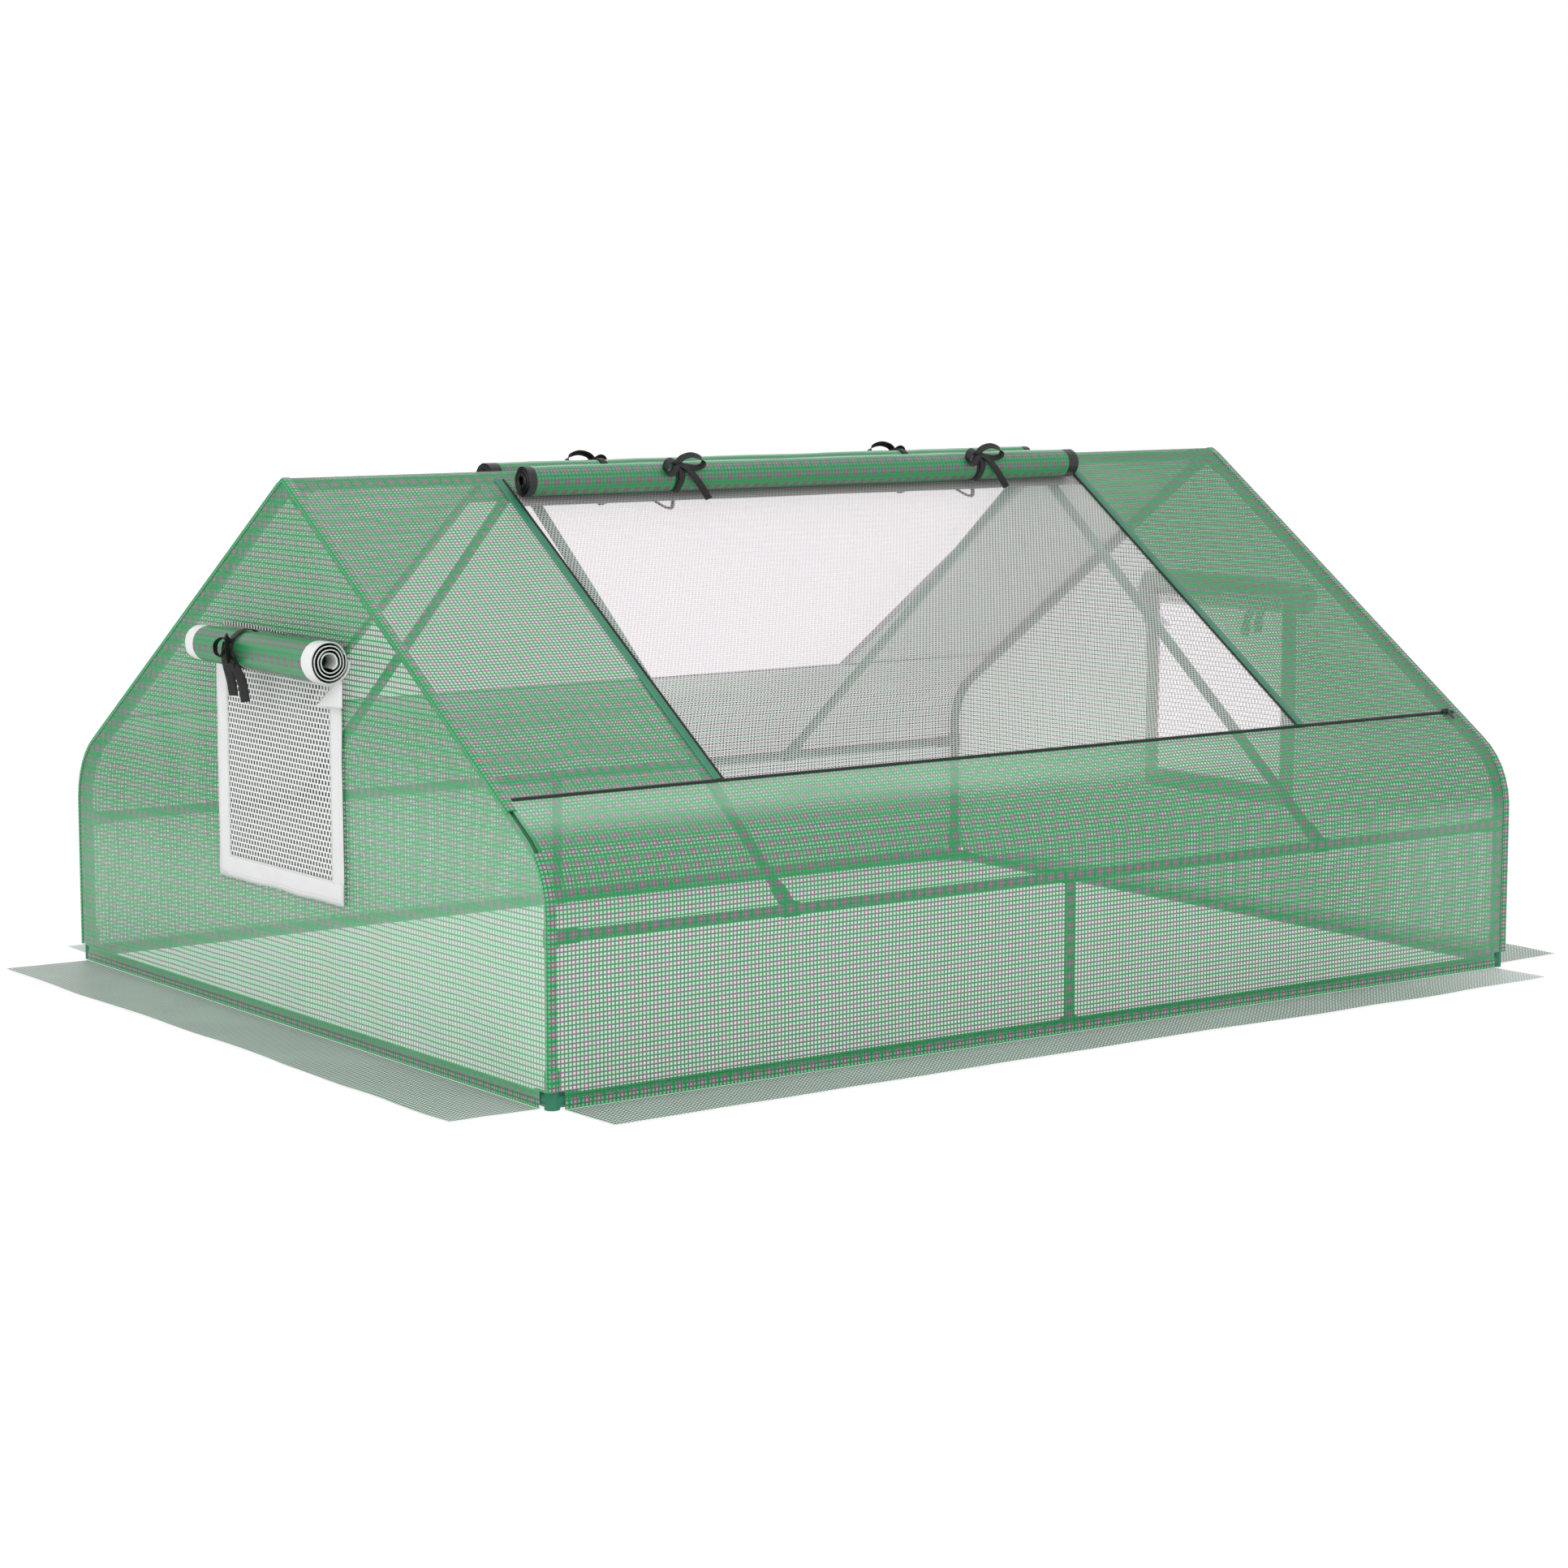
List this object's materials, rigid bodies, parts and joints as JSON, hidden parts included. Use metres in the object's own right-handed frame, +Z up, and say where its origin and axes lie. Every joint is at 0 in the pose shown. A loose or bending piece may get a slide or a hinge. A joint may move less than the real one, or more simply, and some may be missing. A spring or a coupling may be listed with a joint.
{
  "type": "mini greenhouse",
  "caption": "Low tunnel-shaped greenhouse: steel-tube frame with push-fit connectors under a fitted woven cover with roll-up roof doors, end windows and ground flaps.",
  "frame": {"origin": "on the ground under the middle of the greenhouse", "axes": "+X along the ridge, +Z up, the front slope faces -Y"},
  "size_m": [2.0812, 1.6312, 0.8193],
  "materials": {
    "frame": "satin green powder coat",
    "connector": "moulded, matte",
    "cover": "coated woven sheet, translucent, with a check",
    "flap": "coated woven sheet",
    "roll": "coated woven sheet in several layers, slightly glossy",
    "roof_screen": "fine insect mesh",
    "window_screen": "white knitted mesh with a sewn white border",
    "zip": "black zip tape and teeth",
    "ribbon": "black woven ribbon"
  },
  "bodies": {
    "root": {"back_cover": "cover", "back_roof_screen": "roof_screen", "back_zip": "zip", "base_rail_back": "frame", "base_rail_front": "frame", "base_rail_left": "frame", "base_rail_right": "frame", "foot_connector_back_left": "connector", "foot_connector_back_right": "connector", "foot_connector_front_left": "connector", "foot_connector_front_right": "connector", "front_cover": "cover", "front_roof_screen": "roof_screen", "front_zip": "zip", "hip_tube_back_left": "frame", "hip_tube_back_right": "frame", "hip_tube_front_left": "frame", "hip_tube_front_right": "frame", "left_end_cover": "cover", "left_window_screen": "window_screen", "mid_post_back": "frame", "mid_post_front": "frame", "mid_rail_back": "frame", "mid_rail_clip_back_left": "connector", "mid_rail_clip_back_right": "connector", "mid_rail_clip_front_left": "connector", "mid_rail_clip_front_right": "connector", "mid_rail_front": "frame", "rafter_back_left": "frame", "rafter_back_right": "frame", "rafter_front_left": "frame", "rafter_front_right": "frame", "rafter_tee_back_left": "connector", "rafter_tee_back_right": "connector", "rafter_tee_front_left": "connector", "rafter_tee_front_right": "connector", "ridge_cross_left": "connector", "ridge_cross_right": "connector", "ridge_end_left": "connector", "ridge_end_right": "connector", "ridge_pole": "frame", "right_end_cover": "cover", "right_window_screen": "window_screen"},
    "front_door": {"front_door_roll": "roll", "front_door_tie_left": "ribbon", "front_door_tie_right": "ribbon"},
    "back_door": {"back_door_roll": "roll", "back_door_tie_left": "ribbon", "back_door_tie_right": "ribbon"},
    "left_window": {"left_window_roll": "roll", "left_window_tie": "ribbon"},
    "right_window": {"right_window_roll": "roll", "right_window_tie": "ribbon"},
    "front_flap": {"front_ground_flap": "flap"},
    "back_flap": {"back_ground_flap": "flap"},
    "left_flap": {"left_ground_flap": "flap"},
    "right_flap": {"right_ground_flap": "flap"},
    "front_slider": {"front_zip_slider": "zip"},
    "back_slider": {"back_zip_slider": "zip"}
  },
  "joints": [
    {"name": "front_door_drop", "type": "slide", "parent": "root", "child": "front_door", "axis": [0, -0.8247, -0.5655], "range_m": [0, 0.62]},
    {"name": "back_door_drop", "type": "slide", "parent": "root", "child": "back_door", "axis": [0, 0.8247, -0.5655], "range_m": [0, 0.62]},
    {"name": "left_window_drop", "type": "slide", "parent": "root", "child": "left_window", "axis": [0, 0, -1], "range_m": [0, 0.315]},
    {"name": "right_window_drop", "type": "slide", "parent": "root", "child": "right_window", "axis": [0, 0, -1], "range_m": [0, 0.315]},
    {"name": "front_flap_fold", "type": "hinge", "parent": "root", "child": "front_flap", "pos_m": [0, -0.701, 0.0004], "axis": [-1, 0, 0], "range_deg": [0, 88]},
    {"name": "back_flap_fold", "type": "hinge", "parent": "root", "child": "back_flap", "pos_m": [0, 0.701, 0.0004], "axis": [1, 0, 0], "range_deg": [0, 88]},
    {"name": "left_flap_fold", "type": "hinge", "parent": "root", "child": "left_flap", "pos_m": [-0.901, 0, 0.0004], "axis": [0, 1, 0], "range_deg": [0, 88]},
    {"name": "right_flap_fold", "type": "hinge", "parent": "root", "child": "right_flap", "pos_m": [0.901, 0, 0.0004], "axis": [0, -1, 0], "range_deg": [0, 88]},
    {"name": "front_zip_slide", "type": "slide", "parent": "root", "child": "front_slider", "axis": [-1, 0, 0], "range_m": [0, 1.73]},
    {"name": "back_zip_slide", "type": "slide", "parent": "root", "child": "back_slider", "axis": [1, 0, 0], "range_m": [0, 1.73]}
  ]
}
